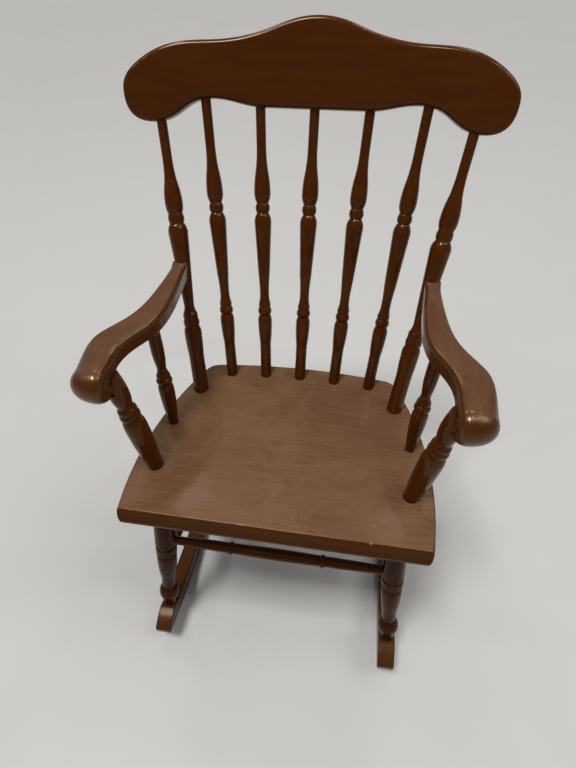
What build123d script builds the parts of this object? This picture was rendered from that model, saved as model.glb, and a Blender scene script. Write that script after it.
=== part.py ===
from build123d import *
import math
import os

# Child-size colonial rocking chair: a plank seat on four turned legs and two rockers, with rolled arms
# and a back of five turned spindles and two stouter posts under a bent, scalloped crest rail.
#
# Millimetres. +X is the right-hand side seen from in front, -Y is the front and +Z is up. The origin
# is on the floor, midway between the rockers and midway along them.
# Places marked "back" are measured back from the seat's nose, "across" out from the middle of the
# chair, "rise" up from the seat's top and "drop" down from it. "Left" is the -X side.

# ---------------------------------------------------------------- seat
seat_height = 312
seat_thickness = 20
seat_depth = 275
seat_front_half = 184      # half widths: at the nose,
seat_side_half = 188       # where the sides are fullest,
seat_back_half = 136       # and at the back corners
seat_side_full_back = 75
seat_back_bow = 10.5       # the back edge bows out this far in the middle
seat_front_corner_r = 5
seat_back_corner_r = 24
nose_slope = 9             # the front edge slopes out this far from its top arris
nose_slope_height = 14
seat_top_edge_r = 3
seat_bottom_edge_r = 4

# ---------------------------------------------------------------- rockers
rocker_length = 480
rocker_lead = 41           # how far the tips stand out in front of the seat's nose
rocker_spread = 332        # between the middles of the two rockers
rocker_width = 23.5
rocker_thickness = 27
rocker_sole_r = 800
balance_y = -8             # the sole is lowest here, under the chair's centre of mass
rocker_nose_length = 29
rocker_nose_lip = 9        # the blunt edge left at the tip
rocker_nose_bulge = 1.5    # the slanting top of the nose is rounded up this much
rocker_edge_r = 2

# ---------------------------------------------------------------- legs
front_leg_top_across = 148.5
front_leg_top_back = 55
front_leg_foot_back = 0
rear_leg_top_across = 118
rear_leg_top_back = 215
rear_leg_foot_back = 294
leg_head_tenon_d = 20
leg_head_tenon_length = 13
leg_foot_tenon_d = 14
leg_foot_tenon_length = 13
# diameters, and distances up from the top of the rocker
leg_ankle_d = 19
leg_ankle_length = 13
leg_ball_d = 29
leg_ball_at = 29
leg_waist_d = 20
leg_waist_at = 52
leg_vase_foot_d = 22.5
leg_vase_foot_at = 72
leg_vase_d = 28
leg_vase_at = 112
leg_groove_d = 25
leg_lower_groove_at = 120
leg_ring_d = 29.5
leg_upper_groove_at = 137.5
leg_barrel_d = 30
leg_groove_width = 1.5
leg_round = 2.5            # length of the rounding beside each groove

# ---------------------------------------------------------------- stretchers
front_stretcher_drop = 117
side_stretcher_drop = 161
stretcher_socket_depth = 12
stretcher_end_d = 12
stretcher_end_length = 26
stretcher_arm_d = 14.5
stretcher_belly_d = 16.5
stretcher_ring_d = 18
stretcher_ring_length = 6
stretcher_ring_share = 0.49  # how far out the rings are, as a share of the way to the ends

# ---------------------------------------------------------------- back
spindle_count = 5
spindle_inset = 18.5       # from the seat's back edge
spindle_foot_pitch = 50.5
spindle_head_pitch = 65
post_foot_across = 139
post_foot_back = 214
post_head_inset = 37       # from the ends of the crest
seat_socket_depth = 12
crest_socket_depth = 14

crest_rise = 326           # to the middle of the crest's lower edge
crest_back = 375
crest_lean = 22            # degrees back from upright
crest_thickness = 20
crest_bow_r = 909          # the rail is bent forward at its ends
# outline of the crest: heights over its lower edge in the middle, and how far out from the middle
# (half) or in from the ends (inset) they are
crest_half = 220
crest_end_height = 12
crest_peak_height = 90.5
crest_hump_half = 60
crest_hump_height = 76
crest_shoulder_inset = 110
crest_shoulder_height = 65.5
crest_slope_inset = 58
crest_slope_height = 60
crest_turn_inset = 16
crest_turn_height = 39
crest_flat_half = 62
crest_arch_inset = 102
crest_arch_height = 6.8
crest_cove_inset = 76
crest_cove_height = 0.8
crest_lobe_inset = 28
crest_lobe_drop = 20.5

# turning of the back: distances up from the seat
back_swell_from = 50
back_swell_at = 84
back_groove_at = 93
back_bead_length = 11
back_ring_length = 7
back_neck_at = 122
spindle_shaft_at = 150
back_vase_at = 218
back_upper_groove_at = 229
back_upper_bead_length = 12
back_upper_swell_at = 253
back_taper_at = 280
back_top_at = 306

spindle_foot_d = 15.5
spindle_swell_d = 19.6
spindle_groove_d = 15.2
spindle_bead_d = 18.8
spindle_ring_d = 16.6
spindle_neck_d = 12.5
spindle_shaft_d = 15.5
spindle_vase_d = 22
spindle_upper_groove_d = 15
spindle_upper_bead_d = 18.5
spindle_upper_swell_d = 20.8
spindle_taper_d = 15.4
spindle_top_d = 11.8

post_foot_d = 21
post_swell_d = 23.8
post_groove_d = 19.6
post_bead_d = 21.8
post_ring_d = 20
post_neck_d = 13.5
post_vase_d = 25.5
post_upper_groove_d = 18
post_upper_bead_d = 20.6
post_upper_swell_d = 22.6
post_taper_d = 15.5
post_top_d = 12

# ---------------------------------------------------------------- arms
arm_rise = 168             # to the arm's flat top
arm_thickness = 21
arm_rear_across = 162
arm_rear_width = 19
arm_cope_depth = 4         # the arm's end is hollowed this deep at its top to fit the post
arm_waist_inner = 149      # inner and outer edges at the waist,
arm_waist_outer = 176
arm_waist_back = 215
arm_bend_inner = 156       # where they start to flare,
arm_bend_inner_back = 155
arm_bend_outer = 190
arm_bend_outer_back = 163
arm_flare_outer = 209      # halfway along the flare of the outer edge,
arm_flare_back = 134
arm_front_inner = 179      # and where they run straight again behind the scroll
arm_front_inner_back = 95
arm_front_outer = 219
arm_front_outer_back = 90
scroll_r = 21.5
scroll_back = 72
scroll_cove_r = 9
scroll_eye_d = 12
scroll_eye_groove = 1.5
scroll_eye_depth = 1.2

# ---------------------------------------------------------------- arm supports
front_post_foot_across = 160
front_post_foot_back = 76
front_post_head_across = 185
front_post_head_back = 87
rear_support_foot_across = 159
rear_support_foot_back = 147
rear_support_head_across = 169
rear_support_head_back = 176
arm_socket_depth = 11
arm_tenon_d = 12

# turning of the supports: distances up from the seat
front_post_swell_at = 70
front_post_groove_at = 84
front_post_bead_length = 9
front_post_ring_length = 7
front_post_neck_at = 104
front_post_vase_at = 124
front_post_foot_d = 20
front_post_swell_d = 27.6
front_post_groove_d = 22
front_post_bead_d = 25
front_post_ring_d = 23.4
front_post_neck_d = 18.4
front_post_vase_d = 23.6
front_post_head_d = 19

rear_support_swell_at = 56
rear_support_groove_at = 64
rear_support_bead_length = 9
rear_support_ring_length = 6
rear_support_neck_at = 88
rear_support_vase_at = 118
rear_support_foot_d = 13
rear_support_swell_d = 20.4
rear_support_groove_d = 16.4
rear_support_bead_d = 20.6
rear_support_ring_d = 18
rear_support_neck_d = 11.8
rear_support_vase_d = 16.6
rear_support_head_d = 14.5

# ---------------------------------------------------------------- fastenings and fits
glue_gap = 0.1             # round each tenon in its socket
screw_gap = 0.3            # round each screw in the piece that it passes through
drill_lead = 10            # holes are begun this far outside the wood
trim_allowance = 10        # turned blanks are this much too long before they are scribed
screw_reach = 40           # from behind the post to the screw's tip in the arm
support_foot_length = 6    # the arm supports are straight for this far over the seat
screw_d = 4
screw_head_d = 8
screw_head_height = 3
screw_slot_width = 1.2
screw_slot_depth = 1.2
screw_bite = 20            # length of each screw in the second piece
rocker_counterbore = 5
post_counterbore = 7
plug_dome = 1

# ---------------------------------------------------------------- places worked out from the sizes
nose_y = rocker_lead - rocker_length / 2
rocker_x = rocker_spread / 2
seat_underside = seat_height - seat_thickness
arm_top = seat_height + arm_rise
arm_underside = arm_top - arm_thickness
seat_back_r = (seat_back_half**2 + seat_back_bow**2) / (2 * seat_back_bow)
rocker_top_r = rocker_sole_r - rocker_thickness
scroll_y = nose_y + scroll_back
scroll_z = arm_top - scroll_r
post_head_across = crest_half - post_head_inset
crest_shoulder_half = crest_half - crest_shoulder_inset
crest_slope_half = crest_half - crest_slope_inset
crest_turn_half = crest_half - crest_turn_inset
crest_arch_half = crest_half - crest_arch_inset
crest_cove_half = crest_half - crest_cove_inset
crest_lobe_half = crest_half - crest_lobe_inset
sides = {"left": -1, "right": 1}
forward = Vector(0, -1, 0)

up_crest = Vector(0, math.sin(math.radians(crest_lean)), math.cos(math.radians(crest_lean)))
behind_crest = Vector(0, up_crest.Z, -up_crest.Y)
crest_origin = Vector(0, nose_y + crest_back, seat_height + crest_rise)


def place(side, across, back, height):
    """A point on the left (-1) or the right (1) side, at a height over the floor."""
    return Vector(side * across, nose_y + back, height)


def seat_back_edge(x):
    """How far back from the nose the seat's bowed back edge is."""
    return seat_depth - seat_back_r + math.sqrt(seat_back_r**2 - x**2)


def sole_height(y):
    """Height of the rocker's sole over the floor."""
    return rocker_sole_r - math.sqrt(rocker_sole_r**2 - (y - balance_y) ** 2)


def rocker_top(y):
    """Height of the rocker's top over the floor."""
    return rocker_sole_r - math.sqrt(rocker_top_r**2 - (y - balance_y) ** 2)


def between(x, start, end):
    """The value at x on the straight line between two (x, value) points."""
    return start[1] + (end[1] - start[1]) * (x - start[0]) / (end[0] - start[0])


def crest_edge(x):
    """Height of the crest's scalloped lower edge over its middle, at a distance x from the middle."""
    flat = (crest_flat_half, 0)
    arch = (crest_arch_half, crest_arch_height)
    cove = (crest_cove_half, crest_cove_height)
    lobe = (crest_lobe_half, -crest_lobe_drop)
    if x <= crest_flat_half:
        return 0
    if x <= crest_arch_half:
        return between(x, flat, arch)
    if x <= crest_cove_half:
        return between(x, arch, cove)
    return between(x, cove, lobe)


def in_crest(x, height):
    """The point midway through the bent crest, at a height over its lower edge in the middle."""
    bow = crest_bow_r - math.sqrt(crest_bow_r**2 - x**2)
    return crest_origin + Vector(x, 0, 0) + up_crest * height - behind_crest * bow


def axis_plane(foot, head, across=Vector(1, 0, 0)):
    """The plane in which a turned piece is drawn: its origin is the foot and its Y runs to the head."""
    along = (head - foot).normalized()
    sideways = (across - along * across.dot(along)).normalized()
    return Plane(origin=foot, x_dir=sideways, z_dir=sideways.cross(along))


def turning(plane, start, cuts):
    """The half outline of a turned piece, to be revolved about the plane's Y axis.

    It starts at (distance along, diameter). Each cut is (shape, distance along, diameter):
    a "line" runs straight to the cut, an arc that "leaves" starts level, one that "levels" ends
    level, and a "bead" stands out to the cut and returns as far beyond it.
    """
    with BuildSketch(plane) as outline:
        with BuildLine():
            here = (start[1] / 2, start[0])
            Line((0, start[0]), here)
            for shape, along, diameter in cuts:
                there = (diameter / 2, along)
                if shape == "line":
                    Line(here, there)
                elif shape == "leaves":
                    TangentArc(here, there, tangent=(0, 1))
                elif shape == "levels":
                    TangentArc(there, here, tangent=(0, -1))
                else:
                    widest = there
                    there = (here[0], 2 * along - here[1])
                    ThreePointArc(here, widest, there)
                here = there
            Line(here, (0, here[1]))
            Line((0, here[1]), (0, start[0]))
        make_face()
    return outline.sketch


def drill(mouth, inward, diameter, depth):
    """A round hole in the part being built, to a depth beyond its mouth."""
    with Locations(Plane(origin=mouth - inward * drill_lead, z_dir=inward * -1)):
        Hole(diameter / 2, depth + drill_lead)


def rod(start, along, diameter, length):
    """A round bar added to the part being built."""
    with Locations(Plane(origin=start, z_dir=along)):
        Cylinder(diameter / 2, length, align=(Align.CENTER, Align.CENTER, Align.MIN))


def drive_screw(head_point, along, length):
    """A slotted screw in the part being built, given the middle of its head's outer face."""
    rod(head_point, along, screw_head_d, screw_head_height)
    rod(head_point, along, screw_d, length)
    with Locations(Plane(origin=head_point, z_dir=along)):
        Box(screw_head_d, screw_slot_width, 2 * screw_slot_depth, mode=Mode.SUBTRACT)


def save(piece, name):
    """Label a finished piece and write it to its own file."""
    piece.part.label = name
    export_step(piece.part, f"parts/{name}.step")


os.makedirs("parts", exist_ok=True)

# ---------------------------------------------------------------- axes of the turned pieces
# Each is (foot, head): where the axis meets the seat, the crest's socket, the arm or the rocker.
back_axes = {}
for number in range(1, spindle_count + 1):
    places_out = number - (spindle_count + 1) / 2
    foot_x = places_out * spindle_foot_pitch
    head_x = places_out * spindle_head_pitch
    foot_y = nose_y + seat_back_edge(foot_x) - spindle_inset
    head = in_crest(head_x, crest_edge(abs(head_x)) + crest_socket_depth)
    back_axes[f"back_spindle_{number}"] = (Vector(foot_x, foot_y, seat_height), head)
for word, side in sides.items():
    head = in_crest(side * post_head_across, crest_edge(post_head_across) + crest_socket_depth)
    back_axes[f"back_post_{word}"] = (place(side, post_foot_across, post_foot_back, seat_height), head)

arm_support_axes = {}
leg_axes = {}
for word, side in sides.items():
    arm_support_axes[f"arm_post_{word}"] = (
        place(side, front_post_foot_across, front_post_foot_back, seat_height),
        place(side, front_post_head_across, front_post_head_back, arm_underside),
    )
    arm_support_axes[f"arm_spindle_{word}"] = (
        place(side, rear_support_foot_across, rear_support_foot_back, seat_height),
        place(side, rear_support_head_across, rear_support_head_back, arm_underside),
    )
    leg_axes[f"leg_front_{word}"] = (
        place(side, rocker_x, front_leg_foot_back, rocker_top(nose_y + front_leg_foot_back)),
        place(side, front_leg_top_across, front_leg_top_back, seat_underside),
    )
    leg_axes[f"leg_rear_{word}"] = (
        place(side, rocker_x, rear_leg_foot_back, rocker_top(nose_y + rear_leg_foot_back)),
        place(side, rear_leg_top_across, rear_leg_top_back, seat_underside),
    )


def direction(axis):
    """The unit vector from an axis's foot to its head."""
    return (axis[1] - axis[0]).normalized()


def at_height(axis, height):
    """The point on an axis at a height over the floor."""
    foot, head = axis
    return foot + (head - foot) * ((height - foot.Z) / (head.Z - foot.Z))


def post_radius(post_axis, height):
    """Radius of a back post's tapering part, where its axis is at a height over the floor."""
    along = (at_height(post_axis, height) - post_axis[0]).length
    return between(along, (back_neck_at, post_neck_d / 2), (back_vase_at, post_vase_d / 2))


def screw_mouth(post_axis):
    """The point behind a back post where the screw of the arm goes in."""
    screw_height = arm_top - arm_thickness / 2
    lean = direction(post_axis).dot(forward)
    taper = (post_vase_d - post_neck_d) / 2 / (back_vase_at - back_neck_at)
    skin = post_radius(post_axis, screw_height) / (math.sqrt(1 - lean**2) + taper * lean)
    return at_height(post_axis, screw_height) - forward * skin


def sole_point(axis):
    """The point where a leg's axis comes out of the rocker's sole."""
    height = sole_height(axis[0].Y)
    return at_height(axis, sole_height(at_height(axis, height).Y))


# Each stretcher is (foot, head, a direction across it), its ends being the bottoms of its sockets.
stretcher_runs = [
    ("stretcher_front", "leg_front_left", "leg_front_right", front_stretcher_drop, Vector(0, 0, 1)),
    ("stretcher_rear", "leg_rear_left", "leg_rear_right", front_stretcher_drop, Vector(0, 0, 1)),
    ("stretcher_left", "leg_front_left", "leg_rear_left", side_stretcher_drop, Vector(1, 0, 0)),
    ("stretcher_right", "leg_front_right", "leg_rear_right", side_stretcher_drop, Vector(1, 0, 0)),
]
stretcher_axes = {}
stretcher_mouths = {name: [] for name in leg_axes}
for name, first_leg, second_leg, drop, across in stretcher_runs:
    first = at_height(leg_axes[first_leg], seat_height - drop)
    second = at_height(leg_axes[second_leg], seat_height - drop)
    run = (second - first).normalized()
    first_mouth = first + run * (leg_ring_d / 2)
    second_mouth = second - run * (leg_ring_d / 2)
    stretcher_mouths[first_leg].append((first_mouth, run * -1))
    stretcher_mouths[second_leg].append((second_mouth, run))
    socket = run * stretcher_socket_depth
    stretcher_axes[name] = (first_mouth - socket, second_mouth + socket, across)

# ---------------------------------------------------------------- seat
back_corner = (seat_back_half, nose_y + seat_depth - seat_back_bow)
with BuildPart() as seat:
    with BuildSketch(Plane.XY.offset(seat_underside)):
        with BuildLine():
            front = Line((-seat_front_half, nose_y), (seat_front_half, nose_y))
            fullest = (seat_side_half, nose_y + seat_side_full_back)
            flank = ThreePointArc(front @ 1, fullest, back_corner)
            mirror(flank, about=Plane.YZ)
            ThreePointArc(back_corner, (0, nose_y + seat_depth), (-back_corner[0], back_corner[1]))
        make_face()
        fillet(vertices().group_by(Axis.Y)[0], radius=seat_front_corner_r)
        fillet(vertices().group_by(Axis.Y)[-1], radius=seat_back_corner_r)
    extrude(amount=seat_thickness)
    with BuildSketch(Plane.YZ):
        with BuildLine():
            Polyline(
                (nose_y, seat_height),
                (nose_y + nose_slope, seat_height),
                (nose_y, seat_height - nose_slope_height),
                close=True,
            )
        make_face()
    extrude(amount=seat_side_half, both=True, mode=Mode.SUBTRACT)
    fillet(seat.faces().sort_by(Axis.Z)[-1].edges(), radius=seat_top_edge_r)
    fillet(seat.faces().sort_by(Axis.Z)[0].edges(), radius=seat_bottom_edge_r)
    for name, axis in back_axes.items():
        foot_d = spindle_foot_d if "spindle" in name else post_foot_d
        drill(axis[0], direction(axis) * -1, foot_d + 2 * glue_gap, seat_socket_depth)
    for name, axis in arm_support_axes.items():
        foot_d = rear_support_foot_d if "spindle" in name else front_post_foot_d
        drill(axis[0], direction(axis) * -1, foot_d + 2 * glue_gap, seat_socket_depth)
    for axis in leg_axes.values():
        drill(axis[1], direction(axis), leg_head_tenon_d + 2 * glue_gap, leg_head_tenon_length)
save(seat, "seat")

# ---------------------------------------------------------------- crest rail
crest_front_plane = Plane(origin=crest_origin, x_dir=Vector(1, 0, 0), z_dir=behind_crest * -1)
crest_plan_plane = Plane(origin=crest_origin, x_dir=Vector(1, 0, 0), z_dir=up_crest)
with BuildPart() as crest_rail:
    with BuildSketch(crest_front_plane):
        with BuildLine():
            crest_end = (crest_half, crest_end_height)
            crest_lobe = (crest_lobe_half, -crest_lobe_drop)
            crest_arch = (crest_arch_half, crest_arch_height)
            upper = Spline(
                (0, crest_peak_height),
                (crest_hump_half, crest_hump_height),
                (crest_shoulder_half, crest_shoulder_height),
                (crest_slope_half, crest_slope_height),
                (crest_turn_half, crest_turn_height),
                crest_end,
                tangents=((1, 0), (0, -1)),
            )
            lobe = Spline(crest_end, crest_lobe, tangents=((0, -1), (-1, 0)))
            cove = Spline(
                crest_lobe, (crest_cove_half, crest_cove_height), crest_arch, tangents=((-1, 0), (-1, 0))
            )
            arch = Spline(crest_arch, (crest_flat_half, 0), tangents=((-1, 0), (-1, 0)))
            Line((crest_flat_half, 0), (-crest_flat_half, 0))
            for curve in (upper, lobe, cove, arch):
                mirror(curve, about=Plane.YZ)
        make_face()
    extrude(amount=crest_half, both=True)
    with BuildSketch(crest_plan_plane):
        with Locations((0, -crest_bow_r)):
            Circle(crest_bow_r + crest_thickness / 2)
            Circle(crest_bow_r - crest_thickness / 2, mode=Mode.SUBTRACT)
    extrude(amount=crest_half, both=True, mode=Mode.INTERSECT)
    for name, axis in back_axes.items():
        head_d = spindle_top_d if "spindle" in name else post_top_d
        mouth = axis[1] - direction(axis) * crest_socket_depth
        drill(mouth, direction(axis), head_d + 2 * glue_gap, crest_socket_depth)
save(crest_rail, "crest_rail")

# ---------------------------------------------------------------- back spindles and posts
# Spindles and posts are cut at the same heights. The posts are thicker, and taper evenly from the
# vase to the neck where the arms meet them.
for name, axis in back_axes.items():
    stout = "post" in name
    foot_d = post_foot_d if stout else spindle_foot_d
    groove_d = post_groove_d if stout else spindle_groove_d
    upper_groove_d = post_upper_groove_d if stout else spindle_upper_groove_d
    top_d = post_top_d if stout else spindle_top_d
    cuts = [
        ("line", back_swell_from, foot_d),
        ("levels", back_swell_at, post_swell_d if stout else spindle_swell_d),
        ("leaves", back_groove_at, groove_d),
        ("bead", back_groove_at + back_bead_length / 2, post_bead_d if stout else spindle_bead_d),
        (
            "bead",
            back_groove_at + back_bead_length + back_ring_length / 2,
            post_ring_d if stout else spindle_ring_d,
        ),
        ("levels", back_neck_at, post_neck_d if stout else spindle_neck_d),
    ]
    if not stout:
        cuts.append(("leaves", spindle_shaft_at, spindle_shaft_d))
    cuts += [
        ("line", back_vase_at, post_vase_d if stout else spindle_vase_d),
        ("leaves", back_upper_groove_at, upper_groove_d),
        (
            "bead",
            back_upper_groove_at + back_upper_bead_length / 2,
            post_upper_bead_d if stout else spindle_upper_bead_d,
        ),
        ("levels", back_upper_swell_at, post_upper_swell_d if stout else spindle_upper_swell_d),
        ("leaves", back_taper_at, post_taper_d if stout else spindle_taper_d),
        ("levels", back_top_at, top_d),
        ("line", (axis[1] - axis[0]).length, top_d),
    ]
    plane = axis_plane(*axis)
    with BuildPart() as back_piece:
        revolve(turning(plane, (-seat_socket_depth, foot_d), cuts), axis=Axis(plane.origin, plane.y_dir))
        if stout:
            mouth = screw_mouth(axis)
            drill(mouth, forward, screw_d + 2 * screw_gap, 2 * post_vase_d)
            drill(mouth, forward, screw_head_d + 2 * screw_gap, post_counterbore)
    save(back_piece, name)


# ---------------------------------------------------------------- arms
def arm_blank(side, post_axis):
    """One arm before it is drilled: its plan, its rolled side outline and its coped rear end."""
    rear_point = at_height(post_axis, arm_top)
    front_y = scroll_y - 2 * scroll_r
    cope_normal = Vector(0, post_axis[1].Z - post_axis[0].Z, post_axis[0].Y - post_axis[1].Y).normalized()
    cope_origin = rear_point - cope_normal * (post_radius(post_axis, arm_top) + glue_gap - arm_cope_depth)
    with BuildPart() as blank:
        with BuildSketch(Plane.XY.offset(arm_top)):
            with BuildLine():
                inner = Spline(
                    (side * (arm_rear_across - arm_rear_width / 2), rear_point.Y),
                    (side * arm_waist_inner, nose_y + arm_waist_back),
                    (side * arm_bend_inner, nose_y + arm_bend_inner_back),
                    (side * arm_front_inner, nose_y + arm_front_inner_back),
                    tangents=((0, -1), (0, -1)),
                )
                outer = Spline(
                    (side * (arm_rear_across + arm_rear_width / 2), rear_point.Y),
                    (side * arm_waist_outer, nose_y + arm_waist_back),
                    (side * arm_bend_outer, nose_y + arm_bend_outer_back),
                    (side * arm_flare_outer, nose_y + arm_flare_back),
                    (side * arm_front_outer, nose_y + arm_front_outer_back),
                    tangents=((0, -1), (0, -1)),
                )
                Line(inner @ 0, outer @ 0)
                Polyline(
                    inner @ 1,
                    (side * arm_front_inner, front_y),
                    (side * arm_front_outer, front_y),
                    outer @ 1,
                )
            make_face()
        extrude(amount=-2 * scroll_r)
        with BuildSketch(Plane.YZ):
            with Locations((scroll_y, arm_top)):
                Rectangle(rear_point.Y - scroll_y, arm_thickness, align=(Align.MIN, Align.MAX))
            with Locations((scroll_y, scroll_z)):
                Circle(scroll_r)
            fillet(vertices().group_by(Axis.Y)[0].sort_by(Axis.X)[0], radius=scroll_cove_r)
        extrude(amount=2 * arm_front_outer, both=True, mode=Mode.INTERSECT)
        split(bisect_by=Plane(origin=cope_origin, z_dir=cope_normal), keep=Keep.BOTTOM)
        neck = post_axis[0] + direction(post_axis) * back_neck_at
        with Locations(Plane(origin=neck, z_dir=direction(post_axis))):
            Cone(
                post_neck_d / 2 + glue_gap,
                post_vase_d / 2 + glue_gap,
                back_vase_at - back_neck_at,
                align=(Align.CENTER, Align.CENTER, Align.MIN),
                mode=Mode.SUBTRACT,
            )
    return blank.part


arm_blanks = {word: arm_blank(side, back_axes[f"back_post_{word}"]) for word, side in sides.items()}

# ---------------------------------------------------------------- arm supports
arm_sockets = {"left": [], "right": []}
for name, axis in arm_support_axes.items():
    word = name.split("_")[-1]
    if "post" in name:
        foot_d = front_post_foot_d
        bead_end = front_post_groove_at + front_post_bead_length
        cuts = [
            ("line", support_foot_length, front_post_foot_d),
            ("levels", front_post_swell_at, front_post_swell_d),
            ("leaves", front_post_groove_at, front_post_groove_d),
            ("bead", front_post_groove_at + front_post_bead_length / 2, front_post_bead_d),
            ("bead", bead_end + front_post_ring_length / 2, front_post_ring_d),
            ("levels", front_post_neck_at, front_post_neck_d),
            ("levels", front_post_vase_at, front_post_vase_d),
            ("leaves", (axis[1] - axis[0]).length, front_post_head_d),
            ("line", (axis[1] - axis[0]).length + trim_allowance, front_post_head_d),
        ]
    else:
        foot_d = rear_support_foot_d
        bead_end = rear_support_groove_at + rear_support_bead_length
        cuts = [
            ("line", support_foot_length, rear_support_foot_d),
            ("levels", rear_support_swell_at, rear_support_swell_d),
            ("leaves", rear_support_groove_at, rear_support_groove_d),
            ("bead", rear_support_groove_at + rear_support_bead_length / 2, rear_support_bead_d),
            ("bead", bead_end + rear_support_ring_length / 2, rear_support_ring_d),
            ("levels", rear_support_neck_at, rear_support_neck_d),
            ("levels", rear_support_vase_at, rear_support_vase_d),
            ("leaves", (axis[1] - axis[0]).length, rear_support_head_d),
            ("line", (axis[1] - axis[0]).length + trim_allowance, rear_support_head_d),
        ]
    plane = axis_plane(*axis)
    with BuildPart() as support:
        revolve(turning(plane, (-seat_socket_depth, foot_d), cuts), axis=Axis(plane.origin, plane.y_dir))
        split(bisect_by=Plane.XY.offset(arm_underside), keep=Keep.BOTTOM)
        add(arm_blanks[word], mode=Mode.SUBTRACT)
        root = axis[1] - direction(axis) * arm_socket_depth
        rod(root, direction(axis), arm_tenon_d, 2 * arm_socket_depth)
    arm_sockets[word].append(axis)
    save(support, name)

# ---------------------------------------------------------------- arms, drilled
for word, side in sides.items():
    post_axis = back_axes[f"back_post_{word}"]
    eye_plane = Plane(
        origin=Vector(side * arm_front_inner, scroll_y, scroll_z),
        x_dir=Vector(0, 1, 0),
        z_dir=Vector(-side, 0, 0),
    )
    with BuildPart() as arm:
        add(arm_blanks[word])
        for axis in arm_sockets[word]:
            drill(axis[1], direction(axis), arm_tenon_d + 2 * glue_gap, arm_socket_depth)
        drill(screw_mouth(post_axis), forward, screw_d + 2 * glue_gap, screw_reach)
        with BuildSketch(eye_plane):
            Circle(scroll_eye_d / 2)
            Circle(scroll_eye_d / 2 - scroll_eye_groove, mode=Mode.SUBTRACT)
        extrude(amount=-scroll_eye_depth, mode=Mode.SUBTRACT)
    save(arm, f"arm_{word}")

# ---------------------------------------------------------------- legs
rocker_middle = Plane(origin=Vector(0, balance_y, rocker_sole_r), z_dir=Vector(1, 0, 0))
for name, axis in leg_axes.items():
    length = (axis[1] - axis[0]).length
    ring_from = leg_lower_groove_at + leg_groove_width
    barrel_from = leg_upper_groove_at + leg_groove_width
    cuts = [
        ("line", leg_ankle_length, leg_ankle_d),
        ("bead", leg_ball_at, leg_ball_d),
        ("line", leg_waist_at, leg_waist_d),
        ("leaves", leg_vase_foot_at, leg_vase_foot_d),
        ("levels", leg_vase_at, leg_vase_d),
        ("leaves", leg_lower_groove_at, leg_groove_d),
        ("line", ring_from, leg_groove_d),
        ("levels", ring_from + leg_round, leg_ring_d),
        ("line", leg_upper_groove_at - leg_round, leg_ring_d),
        ("leaves", leg_upper_groove_at, leg_groove_d),
        ("line", barrel_from, leg_groove_d),
        ("levels", barrel_from + leg_round, leg_barrel_d),
        ("line", length + trim_allowance, leg_barrel_d),
    ]
    plane = axis_plane(*axis)
    along = direction(axis)
    with BuildPart() as leg:
        revolve(turning(plane, (-trim_allowance, leg_ankle_d), cuts), axis=Axis(plane.origin, plane.y_dir))
        split(bisect_by=Plane.XY.offset(seat_underside), keep=Keep.BOTTOM)
        with Locations(rocker_middle):
            Cylinder(rocker_top_r, 2 * rocker_spread, mode=Mode.INTERSECT)
        rod(axis[1] - along * leg_head_tenon_length, along, leg_head_tenon_d, 2 * leg_head_tenon_length)
        rod(axis[0] + along * leg_foot_tenon_length, along * -1, leg_foot_tenon_d, 2 * leg_foot_tenon_length)
        for mouth, inward in stretcher_mouths[name]:
            drill(mouth, inward, stretcher_end_d + 2 * glue_gap, stretcher_socket_depth)
        drill(axis[0] - along * leg_foot_tenon_length, along, screw_d + 2 * glue_gap, screw_bite)
    save(leg, name)

# ---------------------------------------------------------------- stretchers
for name, (foot, head, across) in stretcher_axes.items():
    length = (head - foot).length
    ring_out = (length / 2 - stretcher_end_length) * stretcher_ring_share
    ring_half = stretcher_ring_length / 2
    cuts = [
        ("line", stretcher_end_length, stretcher_end_d),
        ("levels", length / 2 - ring_out - ring_half, stretcher_arm_d),
        ("bead", length / 2 - ring_out, stretcher_ring_d),
        ("levels", length / 2, stretcher_belly_d),
        ("leaves", length / 2 + ring_out - ring_half, stretcher_arm_d),
        ("bead", length / 2 + ring_out, stretcher_ring_d),
        ("leaves", length - stretcher_end_length, stretcher_end_d),
        ("line", length, stretcher_end_d),
    ]
    plane = axis_plane(foot, head, across)
    with BuildPart() as stretcher:
        revolve(turning(plane, (0, stretcher_end_d), cuts), axis=Axis(plane.origin, plane.y_dir))
    save(stretcher, name)

# ---------------------------------------------------------------- rockers
rocker_tip = rocker_length / 2
for word, side in sides.items():
    with BuildPart() as rocker:
        with BuildSketch(Plane.YZ.offset(side * rocker_x - rocker_width / 2)):
            with BuildLine():
                sole = ThreePointArc(
                    (-rocker_tip, sole_height(-rocker_tip)),
                    (balance_y, 0),
                    (rocker_tip, sole_height(rocker_tip)),
                )
                front_nose = (rocker_nose_length - rocker_tip, rocker_top(rocker_nose_length - rocker_tip))
                rear_nose = (rocker_tip - rocker_nose_length, rocker_top(rocker_tip - rocker_nose_length))
                front_lip = Line(sole @ 0, sole @ 0 + Vector(0, rocker_nose_lip))
                rear_lip = Line(sole @ 1, sole @ 1 + Vector(0, rocker_nose_lip))
                SagittaArc(front_lip @ 1, front_nose, rocker_nose_bulge)
                ThreePointArc(front_nose, (balance_y, rocker_thickness), rear_nose)
                SagittaArc(rear_nose, rear_lip @ 1, rocker_nose_bulge)
            make_face()
        extrude(amount=rocker_width)
        fillet(rocker.faces().filter_by(Axis.X).edges(), radius=rocker_edge_r)
        for name, axis in leg_axes.items():
            if word in name:
                along = direction(axis)
                drill(axis[0], along * -1, leg_foot_tenon_d + 2 * glue_gap, leg_foot_tenon_length)
                mouth = sole_point(axis)
                drill(mouth, along, screw_d + 2 * screw_gap, (axis[0] - mouth).length)
                drill(mouth, along, screw_head_d + 2 * screw_gap, rocker_counterbore)
    save(rocker, f"rocker_{word}")

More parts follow.
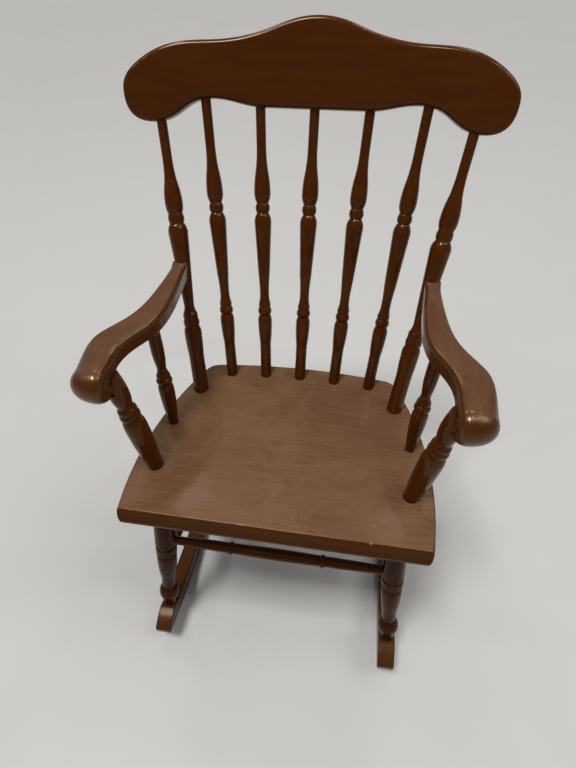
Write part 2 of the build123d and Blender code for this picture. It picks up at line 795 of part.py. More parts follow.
# ---------------------------------------------------------------- screws and plugs
with BuildPart() as rocker_screws:
    for axis in leg_axes.values():
        head_point = sole_point(axis) + direction(axis) * (rocker_counterbore - screw_head_height)
        tip = (axis[0] - head_point).length - leg_foot_tenon_length + screw_bite
        drive_screw(head_point, direction(axis), tip)
save(rocker_screws, "rocker_screws")

with BuildPart() as arm_screws:
    for word in sides:
        head_point = screw_mouth(back_axes[f"back_post_{word}"])
        head_point += forward * (post_counterbore - screw_head_height)
        drive_screw(head_point, forward, screw_reach - post_counterbore + screw_head_height)
save(arm_screws, "arm_screws")

with BuildPart() as arm_screw_plugs:
    for word in sides:
        mouth = screw_mouth(back_axes[f"back_post_{word}"])
        plug_d = screw_head_d + 2 * screw_gap - 2 * glue_gap
        plug_length = post_counterbore - screw_head_height + plug_dome
        rod(mouth - forward * plug_dome, forward, plug_d, plug_length)
    fillet(arm_screw_plugs.faces().sort_by(Axis.Y)[-2:].edges(), radius=plug_dome)
save(arm_screw_plugs, "arm_screw_plugs")
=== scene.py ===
import math

import bmesh
import bpy
import numpy as np
from mathutils import Matrix, Vector


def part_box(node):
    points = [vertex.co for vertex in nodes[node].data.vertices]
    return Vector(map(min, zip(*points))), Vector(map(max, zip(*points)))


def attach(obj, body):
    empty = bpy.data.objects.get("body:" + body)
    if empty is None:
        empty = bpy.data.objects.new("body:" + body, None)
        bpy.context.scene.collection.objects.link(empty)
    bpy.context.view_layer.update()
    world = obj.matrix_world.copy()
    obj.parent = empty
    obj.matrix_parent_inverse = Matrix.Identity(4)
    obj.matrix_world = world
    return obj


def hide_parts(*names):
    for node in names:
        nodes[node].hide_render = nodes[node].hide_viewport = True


# The looks of a child's spindle-back rocking chair: dark brown paint over turned and sawn hardwood,
# glossy on the back and arms and rubbed dull on the seat.
#
# Metres. +X is the right-hand side seen from in front, -Y is the front and +Z is up.

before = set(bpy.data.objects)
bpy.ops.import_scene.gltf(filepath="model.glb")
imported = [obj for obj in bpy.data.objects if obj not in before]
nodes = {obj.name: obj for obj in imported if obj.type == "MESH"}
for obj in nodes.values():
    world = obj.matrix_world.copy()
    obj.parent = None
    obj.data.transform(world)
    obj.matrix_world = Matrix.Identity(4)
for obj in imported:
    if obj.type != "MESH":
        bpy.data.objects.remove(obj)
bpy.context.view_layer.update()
sides = {"left": -1, "right": 1}

# ---------------------------------------------------------------- crest rail
crest_lean = math.radians(22)
crest_bow_r = 0.909
crest_thickness = 0.020
crest_edge_r = 0.0058
crest_columns = 14

# ---------------------------------------------------------------- arms
arm_thickness = 0.021
arm_top_edge_r = 0.0065
arm_under_edge_r = 0.003
scroll_r = 0.0215
scroll_cove_r = 0.009
arm_end_edge_r = 0.0012         # at the rear end, by the post
arm_end_blend = 0.014
scroll_rounding = {             # outer face 1, inner face -1: how far in its rounded edge reaches
    1: {"round": 0.0185, "across": 0.028},
    -1: {"round": 0.0075, "across": 0.0105},
}
scroll_blend = 0.06             # the arm's upper edges grow rounder over this length behind the scroll
eye_r = 0.0068                  # the eye carved in the scroll's inner face
eye_groove = 0.0021
eye_depth = 0.0016
arm_columns = 70

# ---------------------------------------------------------------- meshes
outline_points = 150            # along each of the two long edges of a sawn piece
edge_steps = 9                  # facets round each rounded edge
least_step = 0.0008             # closer points on a CAD rim are left out
crest_facing = 0.9              # least cosine between a facet and the side that a rim goes round
arm_facing = 0.75
weld = 1e-6
sideways = Vector((1, 0, 0))
up_crest = Vector((0, math.sin(crest_lean), math.cos(crest_lean)))
behind_crest = Vector((0, up_crest.z, -up_crest.y))


def side_edge(node, towards, least):
    """The rim of the side of a CAD node that faces a direction, as points in order round it."""
    solid = bmesh.new()
    solid.from_mesh(nodes[node].data)
    bmesh.ops.remove_doubles(solid, verts=solid.verts, dist=weld)
    neighbours = {}
    for edge in solid.edges:
        if sum(face.normal.dot(towards) > least for face in edge.link_faces) == 1:
            first, second = (vertex.index for vertex in edge.verts)
            neighbours.setdefault(first, []).append(second)
            neighbours.setdefault(second, []).append(first)
    places = np.array([vertex.co for vertex in solid.verts])
    solid.free()
    loops = []
    while neighbours:
        start = min(neighbours)
        previous, here = start, neighbours[start][0]
        loop = [start]
        while here != start:
            loop.append(here)
            ends = neighbours[here]
            previous, here = here, ends[0] if ends[1] == previous else ends[1]
        for vertex in loop:
            del neighbours[vertex]
        loops.append(loop)
    return places[max(loops, key=len)]


def evenly(points, count):
    """As many points as asked for, evenly spaced on the smooth curve through the given points."""
    kept = [points[0]]
    for point in points[1:-1]:
        if min(math.dist(point, kept[-1]), math.dist(point, points[-1])) > least_step:
            kept.append(point)
    points = np.array([*kept, points[-1]], float)
    run = np.concatenate([[0], np.cumsum(np.linalg.norm(np.diff(points, axis=0), axis=1))])
    slopes = np.gradient(points, run, axis=0)
    at = np.linspace(0, run[-1], count)
    first = np.clip(np.searchsorted(run, at, side="right") - 1, 0, len(run) - 2)
    width = (run[first + 1] - run[first])[:, None]
    u = (at - run[first])[:, None] / width
    start, end = points[first], points[first + 1]
    leave, arrive = slopes[first] * width, slopes[first + 1] * width
    return (
        start * (1 + 2 * u) * (1 - u) ** 2
        + leave * u * (1 - u) ** 2
        + end * u**2 * (3 - 2 * u)
        - arrive * u**2 * (1 - u)
    )


def spaced(points, count):
    """As many points as asked for, evenly spaced along the straight lines after the first point."""
    points = np.array(points)
    run = np.concatenate([[0], np.cumsum(np.linalg.norm(np.diff(points, axis=0), axis=1))])
    at = np.linspace(0, run[-1], count + 1)[1:]
    return np.stack([np.interp(at, run, points[:, axis]) for axis in (0, 1)], axis=1)


def arc(y, z, radius, start, end, steps):
    """Points on an arc round (y, z)."""
    angles = np.linspace(start, end, steps)
    return [(y + radius * math.cos(a), z + radius * math.sin(a)) for a in angles]


def smooth_step(value, low, high):
    """Rises smoothly from 0 at low to 1 at high."""
    share = np.clip((value - low) / (high - low), 0, 1)
    return share * share * (3 - 2 * share)


def inward_normals(loop):
    """For each point of a closed outline, the unit vector into the outline."""
    count = len(loop)
    normals = np.zeros((count, 2))
    onward = np.roll(loop, -1, axis=0)
    clockwise = np.sum(loop[:, 0] * onward[:, 1] - loop[:, 1] * onward[:, 0]) < 0
    turn = 1 if clockwise else -1
    for i in range(count):
        before, after = i - 1, (i + 1) % count
        while np.linalg.norm(loop[i] - loop[before]) < weld:
            before -= 1
        while np.linalg.norm(loop[i] - loop[after]) < weld:
            after = (after + 1) % count
        along = loop[after] - loop[before]
        normals[i] = turn * np.array((along[1], -along[0])) / np.linalg.norm(along)
    return normals


def rounded_slab(name, upper, lower, inset, across, place, columns):
    """A sawn piece with rounded edges, as one closed mesh.

    upper and lower are the two long edges of its outline, with as many points each, both from the
    same end to the same end. inset and across give, for each face (1 or -1), how far the rounded edge
    reaches in from the outline and down from the face at each point of upper and then of lower
    backwards. place(u, v, face, sunk) puts a point of the outline's plane in the chair, sunk so far
    below that face.
    """
    loop = np.concatenate([upper, lower[::-1]])
    normals = inward_normals(loop)
    count, length = len(loop), len(upper)
    solid = bmesh.new()
    rims = {}
    for face in (1, -1):
        for step in range(edge_steps + 1):
            angle = step / edge_steps * math.pi / 2
            drawn_in = loop + normals * (inset[face] * (1 - math.cos(angle)))[:, None]
            sunk = across[face] * (1 - math.sin(angle))
            rims[face, step] = [
                solid.verts.new(place(u, v, face, depth)) for (u, v), depth in zip(drawn_in, sunk)
            ]
        outer_rim = loop + normals * inset[face][:, None]
        grid = []
        for i in range(length):
            top, bottom = outer_rim[i], outer_rim[count - 1 - i]
            column = [rims[face, edge_steps][i]]
            for share in np.linspace(0, 1, columns + 1)[1:-1]:
                u, v = top + (bottom - top) * share
                column.append(solid.verts.new(place(u, v, face, 0)))
            column.append(rims[face, edge_steps][count - 1 - i])
            grid.append(column)
        for left, right in zip(grid, grid[1:]):
            for row in range(columns):
                solid.faces.new((left[row], right[row], right[row + 1], left[row + 1]))
    bands = [((face, step), (face, step + 1)) for face in (1, -1) for step in range(edge_steps)]
    for first, second in bands + [((1, 0), (-1, 0))]:
        for i in range(count):
            j = (i + 1) % count
            solid.faces.new((rims[first][i], rims[first][j], rims[second][j], rims[second][i]))
    bmesh.ops.remove_doubles(solid, verts=solid.verts, dist=weld)
    bmesh.ops.recalc_face_normals(solid, faces=solid.faces)
    for face in solid.faces:
        face.smooth = True
    mesh = bpy.data.meshes.new(name)
    solid.to_mesh(mesh)
    solid.free()
    piece = bpy.data.objects.new(name, mesh)
    bpy.context.scene.collection.objects.link(piece)
    return piece


def carry(piece, node):
    """The piece stands for a CAD node and rides where that node does."""
    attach(piece, "root")
    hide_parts(node)


def crest_piece():
    """The bent, scalloped crest rail with its rounded edges."""
    rim = side_edge("crest_rail", -behind_crest, crest_facing)
    flat = np.array([(point[0], Vector(point).dot(up_crest)) for point in rim])
    front_r = crest_bow_r - crest_thickness / 2
    depths = [Vector(p).dot(behind_crest) + crest_bow_r - math.sqrt(front_r**2 - p[0] ** 2) for p in rim]
    middle = float(np.mean(depths))
    start, end = int(np.argmin(flat[:, 0])), int(np.argmax(flat[:, 0]))
    turned = np.roll(flat, -start, axis=0)
    end = (end - start) % len(flat)
    first = turned[: end + 1]
    second = np.concatenate([turned[:1], turned[:end - 1:-1]])
    if first[:, 1].mean() < second[:, 1].mean():
        first, second = second, first
    upper, lower = evenly(first, outline_points), evenly(second, outline_points)

    def place(x, height, face, sunk):
        forward = face * (crest_thickness / 2 - sunk)
        depth = middle - crest_bow_r + math.sqrt((crest_bow_r - forward) ** 2 - x**2)
        return sideways * x + up_crest * height + behind_crest * depth

    edge_r = np.full(2 * outline_points, crest_edge_r)
    edges = {1: edge_r, -1: edge_r}
    piece = rounded_slab("crest_rail_rounded", upper, lower, edges, edges, place, crest_columns)
    carry(piece, "crest_rail")
    return piece


def arm_piece(word, side):
    """One rolled arm, its edges rounded and the eye of its scroll carved."""
    node = f"arm_{word}"
    low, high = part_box(node)
    arm_top, scroll_y = high.z, low.y + scroll_r
    scroll_z = arm_top - scroll_r
    arm_underside = arm_top - arm_thickness
    flanks = {}
    for face in (1, -1):
        rim = side_edge(node, sideways * side * face, arm_facing)
        plan = rim[np.argsort(rim[:, 1])]
        flanks[face] = evenly([(abs(point[0]), point[1]) for point in plan], 4 * outline_points)
        if face == -1:
            top_rear = rim[rim[:, 2] > arm_top - weld][:, 1].max()
            under_rear = rim[rim[:, 2] < arm_underside + weld][:, 1].max()

    # the side outline: straight behind the scroll, then round it
    cove_drop = scroll_cove_r - (scroll_z - arm_underside)
    cove_y = scroll_y + math.sqrt((scroll_r + scroll_cove_r) ** 2 - cove_drop**2)
    cove_angle = math.asin(cove_drop / (scroll_r + scroll_cove_r))
    straight = outline_points // 2
    top_line = [(y, arm_top) for y in np.linspace(top_rear, cove_y, straight)]
    under_line = [(y, arm_underside) for y in np.linspace(under_rear, cove_y, straight)]
    rest = outline_points - straight

    over_scroll = [(cove_y, arm_top)] + arc(scroll_y, scroll_z, scroll_r, math.pi / 2, math.pi, rest)
    cove_z = arm_underside - scroll_cove_r
    cove = arc(cove_y, cove_z, scroll_cove_r, math.pi / 2, math.pi - cove_angle, rest)
    under_scroll = arc(scroll_y, scroll_z, scroll_r, -cove_angle, -math.pi, 2 * rest)

    upper = np.concatenate([top_line, spaced(over_scroll, rest)])
    lower = np.concatenate([under_line, spaced(cove + under_scroll, rest)])
    above = smooth_step(upper[:, 0], scroll_y, scroll_y + scroll_blend)
    below = smooth_step(lower[:, 0], scroll_y + scroll_r / 2, cove_y)
    above_end = smooth_step(upper[:, 0], top_rear - arm_end_blend, top_rear)
    below_end = smooth_step(lower[:, 0], under_rear - arm_end_blend, under_rear)

    def reach(kind, face):
        """How far the rounded edge reaches at each point: rounder at the scroll, sharp at the rear."""
        full = scroll_rounding[face][kind]
        over = full + (arm_top_edge_r - full) * above
        under = full + (arm_under_edge_r - full) * below
        over += (arm_end_edge_r - over) * above_end
        under += (arm_end_edge_r - under) * below_end
        return np.concatenate([over, under[::-1]])

    inset = {face: reach("round", face) for face in (1, -1)}
    across = {face: reach("across", face) for face in (1, -1)}

    def place(y, z, face, sunk):
        x = np.interp(y, flanks[face][:, 1], flanks[face][:, 0]) - face * sunk
        if face == -1:
            off_groove = abs(math.hypot(y - scroll_y, z - scroll_z) - eye_r) / eye_groove
            if off_groove < 1:
                x += eye_depth * (1 - off_groove**2) ** 2
        return Vector((side * x, y, z))

    piece = rounded_slab(f"{node}_rounded", upper, lower, inset, across, place, arm_columns)
    carry(piece, node)
    return piece


crest = crest_piece()
arms = [arm_piece(word, side) for word, side in sides.items()]

# ---------------------------------------------------------------- finishes


def node_group(name, inputs, outputs):
    """An empty shader node group with its sockets, and its input and output nodes."""
    group = bpy.data.node_groups.new(name, "ShaderNodeTree")
    for label, kind, value in inputs:
        socket = group.interface.new_socket(name=label, in_out="INPUT", socket_type=f"NodeSocket{kind}")
        socket.default_value = value
    for label, kind in outputs:
        group.interface.new_socket(name=label, in_out="OUTPUT", socket_type=f"NodeSocket{kind}")
    return group, group.nodes.new("NodeGroupInput").outputs, group.nodes.new("NodeGroupOutput").inputs


class Wiring:
    """Adds nodes to a material or a group. A value is set on a socket, and an output is linked to it."""

    def __init__(self, tree):
        self.tree = tree

    def add(self, kind, settings=None, **inputs):
        node = self.tree.nodes.new(f"ShaderNode{kind}")
        for name, value in (settings or {}).items():
            setattr(node, name, value)
        for name, value in inputs.items():
            key = int(name[1:]) if name[0] == "i" and name[1:].isdigit() else name.replace("_", " ")
            self.feed(value, node.inputs[key])
        return node

    def feed(self, value, socket):
        if isinstance(value, bpy.types.NodeSocket):
            self.tree.links.new(value, socket)
        else:
            socket.default_value = value

    def math(self, operation, first, second=0.0, clamp=False):
        settings = {"operation": operation, "use_clamp": clamp}
        return self.add("Math", settings, i0=first, i1=second).outputs[0]

    def vector(self, operation, first, second=(0, 0, 0), output="Vector", **inputs):
        node = self.add("VectorMath", {"operation": operation}, i0=first, i1=second, **inputs)
        return node.outputs[output]

    def ramp(self, value, low, high, to_low=0.0, to_high=1.0):
        """Maps a value from low..high to to_low..to_high, smoothly and within those limits."""
        settings = {"interpolation_type": "SMOOTHSTEP"}
        node = self.add("MapRange", settings, i0=value, i1=low, i2=high, i3=to_low, i4=to_high)
        return node.outputs[0]

    def mix(self, share, first, second):
        node = self.add("Mix", {"data_type": "RGBA"})
        self.feed(share, node.inputs[0])
        self.feed(first, node.inputs[6])
        self.feed(second, node.inputs[7])
        return node.outputs[2]

    def noise(self, place, scale, detail=3.0, roughness=0.55, distortion=0.0):
        node = self.add("TexNoise", Vector=place, Scale=scale, Detail=detail)
        self.feed(roughness, node.inputs["Roughness"])
        self.feed(distortion, node.inputs["Distortion"])
        return node.outputs[0]

    def place(self):
        """Where a point lies on its object."""
        return self.add("TexCoord").outputs["Object"]

    def upward(self):
        """How far a face looks up, from -1 to 1."""
        normal = self.add("NewGeometry").outputs["Normal"]
        return self.add("SeparateXYZ", Vector=normal).outputs["Z"]

    def part_along(self, place, direction):
        """The part of a place that lies along a direction."""
        length = self.vector("DOT_PRODUCT", place, direction, output="Value")
        return self.vector("SCALE", direction, Scale=length)


band_fineness = 0.12                # of the pores'
streak_stretch = 0.045              # a mark's width as a share of its length
streak_fineness = 210.0
scratch_fineness = 520.0
speck_fineness = 420.0
ragged_depth = 4


def wood_grain_group():
    """Wood grain that shows through the paint: long fine pores and broader bands along one direction."""
    inputs = [("Along", "Vector", (1, 0, 0)), ("Fineness", "Float", 900.0), ("Stretch", "Float", 0.03)]
    group, given, result = node_group("wood_grain", inputs, [("Pores", "Float"), ("Bands", "Float")])
    wire = Wiring(group)
    place = wire.place()
    lengthwise = wire.part_along(place, given["Along"])
    across = wire.vector("SUBTRACT", place, lengthwise)
    shortened = wire.vector("SCALE", lengthwise, Scale=given["Stretch"])
    drawn_out = wire.vector("ADD", across, shortened)
    wire.feed(wire.noise(drawn_out, given["Fineness"], 4.0, 0.6), result["Pores"])
    broad = wire.math("MULTIPLY", given["Fineness"], band_fineness)
    wire.feed(wire.noise(drawn_out, broad, 2.0, 0.5, 0.6), result["Bands"])
    return group


def wear_and_highlight_group():
    """Where the paint is paler: along the edges, in patches. This is rubbed paint, and painted highlight
    on the rounded edges.
    """
    inputs = [("Width", "Float", 0.0015), ("Patchiness", "Float", 60.0)]
    group, given, result = node_group("edge_wear", inputs, [("Worn And Highlit", "Float")])
    wire = Wiring(group)
    rounded = wire.add("Bevel", {"samples": 6}, Radius=given["Width"]).outputs[0]
    sharp = wire.add("NewGeometry").outputs["Normal"]
    turn = wire.vector("DOT_PRODUCT", rounded, sharp, output="Value")
    edge = wire.ramp(turn, 0.995, 0.90)
    place = wire.place()
    patches = wire.ramp(wire.noise(place, given["Patchiness"], 4.0, 0.65), 0.45, 0.62)
    wire.feed(wire.math("MULTIPLY", edge, patches), result["Worn And Highlit"])
    return group


def handling_group():
    """What use leaves on the paint: cloudy smears, long streaks, fine scratches and specks."""
    inputs = [
        ("Along", "Vector", (1, 0, 0)),
        ("Smear Size", "Float", 14.0),
        ("Scratch Share", "Float", 0.45),
        ("Speck Share", "Float", 0.012),
        ("Speck Size", "Float", 0.45),
    ]
    outputs = [("Smears", "Float"), ("Streaks", "Float"), ("Scratches", "Float"), ("Specks", "Float")]
    group, given, result = node_group("handling", inputs, outputs)
    wire = Wiring(group)
    place = wire.place()
    wire.feed(wire.noise(place, given["Smear Size"], 5.0, 0.62, 0.8), result["Smears"])

    lengthwise = wire.part_along(place, given["Along"])
    shortened = wire.vector("SCALE", lengthwise, Scale=streak_stretch - 1)
    wander = wire.add("TexNoise", Vector=place, Scale=9.0, Detail=1.0).outputs["Color"]
    bent = wire.vector("ADD", place, wire.vector("SCALE", wander, Scale=0.02))
    drawn_out = wire.vector("ADD", bent, shortened)
    wire.feed(wire.noise(drawn_out, streak_fineness, 5.0, 0.7, 0.5), result["Streaks"])
    lines = wire.noise(drawn_out, scratch_fineness, 1.0, 0.4)
    where = wire.ramp(wire.noise(place, 23.0, 2.0, 0.5), 0.42, 0.62)
    least = wire.math("SUBTRACT", 0.86, wire.math("MULTIPLY", given["Scratch Share"], 0.3))
    keen = wire.ramp(lines, least, wire.math("ADD", least, 0.06))
    wire.feed(wire.math("MULTIPLY", keen, where), result["Scratches"])

    cells = wire.add("TexVoronoi", Vector=place, Scale=speck_fineness)
    size = wire.math("MULTIPLY", given["Speck Size"], wire.noise(place, 900.0, 2.0))
    dots = wire.math("LESS_THAN", cells.outputs["Distance"], size)
    chosen = wire.add("SeparateColor", Color=cells.outputs["Color"]).outputs[0]
    rare = wire.math("LESS_THAN", chosen, given["Speck Share"])
    facing_up = wire.ramp(wire.upward(), 0.2, 0.8)
    wire.feed(wire.math("MULTIPLY", wire.math("MULTIPLY", dots, rare), facing_up), result["Specks"])
    return group


def spot_group():
    """A ragged patch round one place, 1 in its middle and 0 outside it."""
    inputs = [("Middle", "Vector", (0, 0, 0)), ("Reach", "Float", 0.01), ("Raggedness", "Float", 0.4)]
    group, given, result = node_group("spot", inputs, [("Patch", "Float")])
    wire = Wiring(group)
    place = wire.place()
    distance = wire.vector("DISTANCE", place, given["Middle"], output="Value")
    share = wire.math("DIVIDE", distance, given["Reach"])
    grain = wire.noise(wire.vector("MULTIPLY", place, (0.25, 1, 1)), 520.0, 3.0, 0.6)
    depth = wire.math("MULTIPLY", given["Raggedness"], ragged_depth)
    ragged = wire.math("MULTIPLY", wire.math("SUBTRACT", grain, 0.5), depth)
    wire.feed(wire.ramp(wire.math("ADD", share, ragged), 1.0, 0.55), result["Patch"])
    return group


groups = {
    "grain": wood_grain_group(),
    "wear": wear_and_highlight_group(),
    "handling": handling_group(),
    "spot": spot_group(),
}


brown = (0.07, 0.0155, 0.0004)
# dust, and painted sheen: this paler brown on faces that look up also stands for light reflected off
# them
dust_and_sheen_brown = (0.172, 0.086, 0.046)
bare_wood = (0.38, 0.22, 0.14)
scratched = (0.32, 0.22, 0.16)
speck = (0.5, 0.44, 0.38)
banding = (0.8, 0.76, 0.7)          # the grain's dark bands, as a share of the paint's colour
rubbing_and_highlight = (2.6, 2.3, 2.2)           # rubbed edges with painted highlight, likewise
warm_reflection = (1, 0.8, 0.45, 1)
coat_share = 0.4                    # of the gloss
coat_roughness = 0.07
relief_height = 0.0003
edge_wear = 0.35                    # how far the rubbed edges with painted highlight show
cleared_by_streaks = 0.17           # this and the next three hold for paint that is fully used
scratch_colouring = 0.4
speck_colouring = 0.6
streak_dulling = 0.2
scratch_dulling = 0.25
scratch_depth = 0.6
crosswise = (1, 0, 0)
lengthwise = (0, 1, 0)
upright = (0, 0, 1)


def toned(colour, shares):
    """A colour with each of its channels scaled."""
    return (*(channel * share for channel, share in zip(colour, shares)), 1)


def painted_wood(name, paint, along, roughness, gloss, dust, grain_share, bump, used=0.0, spots=()):
    """Brown paint on wood: glossy, with grain showing faintly through it, and a paler brown on top that
    is dust and painted sheen.

    dust is the share of the paint's colour that the paler brown hides on level faces: dust, and painted
    sheen for the light those faces reflect. used is how far rubbing along the grain has broken up that
    paler brown and scratched
    the paint. Each spot is (place, reach, colour, share): a patch where the paint is scuffed to another
    colour.
    """
    material = bpy.data.materials.new(name)
    material.use_nodes = True
    tree = material.node_tree
    wire = Wiring(tree)
    shader = tree.nodes["Principled BSDF"]

    def placed(group, **inputs):
        node = tree.nodes.new("ShaderNodeGroup")
        node.node_tree = groups[group]
        for label, value in inputs.items():
            wire.feed(value, node.inputs[label])
        return node.outputs

    grain = placed("grain", Along=along)
    wear = placed("wear")
    marks = placed("handling", Along=along)

    darker = toned(paint, banding)
    banded = wire.mix(wire.ramp(grain["Bands"], 0.35, 0.68), (*paint, 1), darker)
    pores = wire.math("MULTIPLY", wire.ramp(grain["Pores"], 0.5, 0.72), grain_share)
    shadowed = wire.mix(pores, banded, darker)

    # Paler brown on faces that look up: dust, and painted sheen for the light reflected off level tops
    # such as the seat and arms.
    upward_dust_and_sheen = wire.math("MULTIPLY", wire.ramp(wire.upward(), 0.72, 0.985), dust)
    streaked = wire.ramp(marks["Streaks"], 0.4, 0.6, 1 - cleared_by_streaks * used, 1.0)
    blotched = wire.ramp(marks["Smears"], 0.36, 0.64, 0.78, 1.05)
    patchy_dust_and_sheen = wire.math("MULTIPLY", upward_dust_and_sheen, wire.math("MULTIPLY", streaked, blotched), clamp=True)
    with_dust_and_sheen = wire.mix(patchy_dust_and_sheen, shadowed, (*dust_and_sheen_brown, 1))

    # Paler edges: rubbed paint, and painted highlight where the edges are rounded.
    worn_and_highlit = wire.mix(wire.math("MULTIPLY", wear["Worn And Highlit"], edge_wear), with_dust_and_sheen, toned(paint, rubbing_and_highlight))
    scratches = wire.math("MULTIPLY", marks["Scratches"], scratch_colouring * used)
    scored = wire.mix(scratches, worn_and_highlit, (*scratched, 1))
    specks = wire.math("MULTIPLY", marks["Specks"], speck_colouring * used)
    colour = wire.mix(specks, scored, (*speck, 1))
    for place, reach, scuffed, share in spots:
        patch = placed("spot", Middle=place, Reach=reach)["Patch"]
        colour = wire.mix(wire.math("MULTIPLY", patch, share), colour, (*scuffed, 1))
    wire.feed(colour, shader.inputs["Base Color"])

    smeared = wire.ramp(marks["Smears"], 0.3, 0.7, roughness * 0.8, roughness * 1.25)
    rubbed_dull = wire.ramp(marks["Streaks"], 0.42, 0.58, 0.0, streak_dulling * used)
    scratched_dull = wire.math("MULTIPLY", marks["Scratches"], scratch_dulling)
    dulled = wire.math("ADD", wire.math("ADD", smeared, rubbed_dull), scratched_dull)
    wire.feed(dulled, shader.inputs["Roughness"])
    shader.inputs["Specular IOR Level"].default_value = gloss
    shader.inputs["Specular Tint"].default_value = warm_reflection
    shader.inputs["Coat Weight"].default_value = gloss * coat_share * (1 - used)
    shader.inputs["Coat Roughness"].default_value = coat_roughness

    relief = wire.math("MULTIPLY", wire.ramp(grain["Pores"], 0.45, 0.75), grain_share)
    relief = wire.math("ADD", relief, wire.math("MULTIPLY", marks["Streaks"], used))
    relief = wire.math("SUBTRACT", relief, wire.math("MULTIPLY", marks["Scratches"], scratch_depth))
    bumped = wire.add("Bump", Strength=bump, Distance=relief_height, Height=relief)
    wire.feed(bumped.outputs[0], shader.inputs["Normal"])
    return material


def zinc_steel():
    """Plain bright screws, a little dulled."""
    material = bpy.data.materials.new("zinc_steel")
    material.use_nodes = True
    wire = Wiring(material.node_tree)
    shader = material.node_tree.nodes["Principled BSDF"]
    place = wire.place()
    patches = wire.noise(place, 700.0, 4.0)
    bright, dull = (0.55, 0.55, 0.54, 1), (0.34, 0.33, 0.31, 1)
    wire.feed(wire.mix(wire.ramp(patches, 0.35, 0.7), bright, dull), shader.inputs["Base Color"])
    shader.inputs["Metallic"].default_value = 1.0
    wire.feed(wire.ramp(patches, 0.3, 0.7, 0.28, 0.5), shader.inputs["Roughness"])
    return material


seat_spots = [
    ((0.115, -0.190, 0.3118), 0.0022, bare_wood, 0.6),
    ((-0.150, 0.045, 0.312), 0.007, (0.16, 0.04, 0.02), 0.7),
]
crest_spots = [((-0.135, 0.215, 0.685), 0.007, (0.14, 0.075, 0.04), 0.5)]
stretcher = {"roughness": 0.25, "gloss": 0.15, "dust": 0.3, "grain_share": 0.25, "bump": 0.1}
finishes = {
    "seat": painted_wood(
        "seat_paint",
        (0.058, 0.013, 0.001),
        crosswise,
        roughness=0.25,
        gloss=0.32,
        dust=0.95,
        grain_share=0.3,
        bump=0.9,
        used=0.8,
        spots=seat_spots,
    ),
    "crest_rail": painted_wood(
        "crest_paint",
        brown,
        crosswise,
        roughness=0.14,
        gloss=0.26,
        dust=0.1,
        grain_share=0.1,
        bump=0.05,
        used=0.15,
        spots=crest_spots,
    ),
    "arm": painted_wood(
        "arm_paint",
        brown,
        lengthwise,
        roughness=0.15,
        gloss=0.55,
        dust=0.5,
        grain_share=0.9,
        bump=0.35,
        used=0.35,
    ),
    "rocker": painted_wood(
        "rocker_paint",
        (0.058, 0.015, 0.002),
        lengthwise,
        roughness=0.22,
        gloss=0.1,
        dust=0.15,
        grain_share=0.5,
        bump=0.15,
    ),
    "leg": painted_wood(
        "leg_paint",
        # a darker copy of the brown paint: painted shade, for the shade the legs stand in under the seat
        (0.038, 0.0085, 0.0005),
        upright,
        roughness=0.16,
        gloss=0.09,
        dust=0.1,
        grain_share=0.25,
        bump=0.08,
    ),
    "turned": painted_wood(
        "turned_paint",
        brown,
        upright,
        roughness=0.14,
        gloss=0.24,
        dust=0.1,
        grain_share=0.25,
        bump=0.08,
    ),
    "stretcher_x": painted_wood("cross_stretcher_paint", brown, crosswise, **stretcher),
    "stretcher_y": painted_wood("side_stretcher_paint", brown, lengthwise, **stretcher),
    "screws": zinc_steel(),
}


def finish_of(name):
    """Which finish a piece has."""
    if "screws" in name:
        return "screws"
    if name in ("stretcher_front", "stretcher_rear"):
        return "stretcher_x"
    if "stretcher" in name:
        return "stretcher_y"
    if name in ("seat", "crest_rail", "crest_rail_rounded"):
        return name.replace("_rounded", "")
    if "rocker" in name:
        return "rocker"
    if "leg" in name:
        return "leg"
    if name.replace("_rounded", "") in ("arm_left", "arm_right"):
        return "arm"
    return "turned"


for piece in [*nodes.values(), crest, *arms]:
    material = finishes[finish_of(piece.name)]
    if not piece.material_slots:
        piece.data.materials.append(material)
    for slot in piece.material_slots:
        slot.material = material

# ---------------------------------------------------------------- floor, light and camera


def pale_floor():
    """A plain pale floor, far wider than the chair."""
    mesh = bpy.data.meshes.new("floor")
    far = 14
    corners = [(-far, -far, 0), (far, -far, 0), (far, far, 0), (-far, far, 0)]
    mesh.from_pydata(corners, [], [(0, 1, 2, 3)])
    floor = bpy.data.objects.new("floor", mesh)
    bpy.context.scene.collection.objects.link(floor)
    material = bpy.data.materials.new("floor")
    material.use_nodes = True
    wire = Wiring(material.node_tree)
    shader = material.node_tree.nodes["Principled BSDF"]
    place = wire.place()
    tone = wire.ramp(wire.noise(place, 3.0), 0.3, 0.7)
    darker, paler = (0.575, 0.56, 0.535, 1), (0.585, 0.57, 0.545, 1)
    wire.feed(wire.mix(tone, darker, paler), shader.inputs["Base Color"])
    shader.inputs["Roughness"].default_value = 0.6
    mesh.materials.append(material)


def sunlight(name, place, spread, strength):
    """Even, soft light from the direction of a place."""
    light = bpy.data.lights.new(name, "SUN")
    light.angle = spread
    light.energy = strength
    lamp = bpy.data.objects.new(name, light)
    lamp.rotation_euler = (-Vector(place)).to_track_quat("-Z", "Y").to_euler()
    bpy.context.scene.collection.objects.link(lamp)


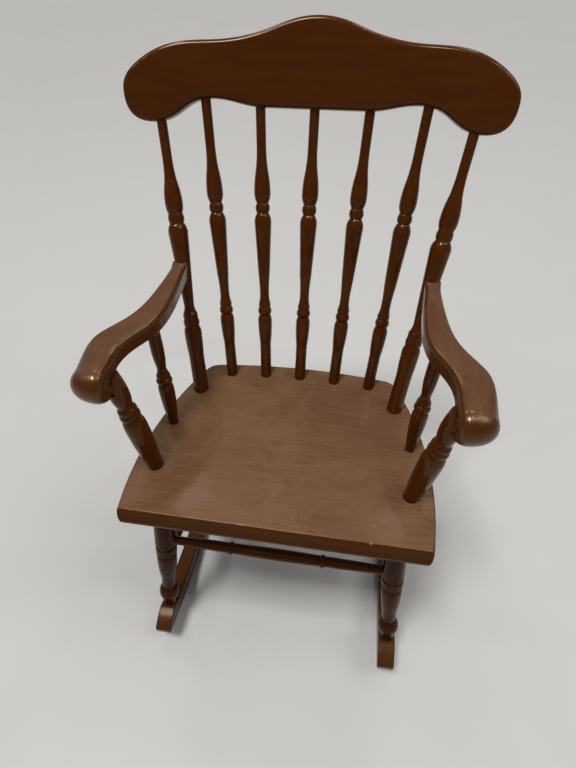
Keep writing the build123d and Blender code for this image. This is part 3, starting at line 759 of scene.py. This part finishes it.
def soft_box(name, place, target, width, power):
    """A square area light."""
    light = bpy.data.lights.new(name, "AREA")
    light.shape = "SQUARE"
    light.size = width
    light.energy = power
    lamp = bpy.data.objects.new(name, light)
    lamp.location = place
    lamp.rotation_euler = (Vector(target) - Vector(place)).to_track_quat("-Z", "Y").to_euler()
    bpy.context.scene.collection.objects.link(lamp)


def studio_world():
    """Even light from all round, with a paler background where the camera sees it."""
    world = bpy.data.worlds.new("studio")
    world.use_nodes = True
    wire = Wiring(world.node_tree)
    background = world.node_tree.nodes["Background"]
    seen = wire.add("LightPath").outputs["Is Camera Ray"]
    lighting, backdrop = (0.22, 0.22, 0.225, 1), (0.66, 0.66, 0.67, 1)
    wire.feed(wire.mix(seen, lighting, backdrop), background.inputs["Color"])
    bpy.context.scene.world = world


def set_camera():
    """The camera, in front of the chair, above its top and a little towards +X, looking down."""
    camera = bpy.data.objects.new("camera", bpy.data.cameras.new("camera"))
    camera.data.sensor_fit = "VERTICAL"
    camera.data.sensor_height = 24
    camera.data.lens = camera.data.sensor_height * camera_focal_px / picture_height_px
    look = Vector(camera_look).normalized()
    level_right = look.cross(Vector((0, 0, 1))).normalized()
    level_up = level_right.cross(look)
    right = level_right * math.cos(camera_roll) + level_up * math.sin(camera_roll)
    up = right.cross(look)
    turn = Matrix((right, up, -look)).transposed()
    camera.matrix_world = Matrix.Translation(camera_place) @ turn.to_4x4()
    bpy.context.scene.collection.objects.link(camera)
    bpy.context.scene.camera = camera


camera_place = (0.0697, -0.4535, 0.8357)
camera_look = (-0.11696, 0.68108, -0.72280)
camera_roll = math.radians(-1.138)
camera_focal_px = 495
picture_height_px = 768

pale_floor()
sunlight("key_light", (-0.35, -0.35, 1.7), spread=0.25, strength=1.75)
sunlight("fill_light", (0.9, 0.1, 1.2), spread=0.5, strength=0.6)
chair_middle = (0, 0, 0.4)
for word, x in {"left": -0.75, "right": 0.46}.items():
    soft_box(f"rear_light_{word}", (x, 0.95, 2.2), chair_middle, width=0.22, power=3)
for number, x in enumerate((-1.3, -1.0, 0.55, 0.85), start=1):
    soft_box(f"down_light_{number}", (x, -0.4, 2.4), (x, -0.4, 0), width=0.11, power=1.6)
studio_world()
set_camera()
bpy.context.scene.view_settings.view_transform = "Standard"
